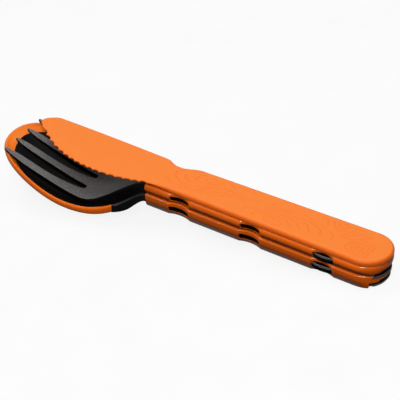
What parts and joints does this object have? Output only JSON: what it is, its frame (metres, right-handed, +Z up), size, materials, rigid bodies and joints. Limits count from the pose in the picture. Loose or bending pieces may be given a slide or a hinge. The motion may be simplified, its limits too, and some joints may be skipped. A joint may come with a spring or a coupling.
{
  "type": "nesting picnic cutlery",
  "caption": "Plastic knife, fork and spoon with overmoulded grips that nest into one flat bundle; the spoon's bowl has a scraper rim and the knife a serrated edge.",
  "frame": {"origin": "centre of the bounding box, on the table under the nested set", "axes": "+X along the handles towards their round ends, +Y towards the knife's spine, +Z up"},
  "size_m": [0.1904, 0.0424, 0.0301],
  "materials": {
    "knife_plastic": "satin orange, lightly grained",
    "grip_plastic": "satin orange overmould",
    "scraper_plastic": "satin orange overmould, soft edge",
    "core_plastic": "charcoal nylon, fine grain"
  },
  "bodies": {
    "spoon": {"spoon_core": "core_plastic", "spoon_grip": "grip_plastic", "spoon_scraper": "scraper_plastic"},
    "fork": {"fork_core": "core_plastic", "fork_grip": "grip_plastic"},
    "knife": {"knife_body": "knife_plastic"}
  },
  "joints": [
    {"name": "fork_lift", "type": "slide", "parent": "spoon", "child": "fork", "axis": [0.0927, 0, 0.9957], "range_m": [0, 0.04]},
    {"name": "knife_lift", "type": "slide", "parent": "fork", "child": "knife", "axis": [0.0927, 0, 0.9957], "range_m": [0, 0.04]}
  ]
}
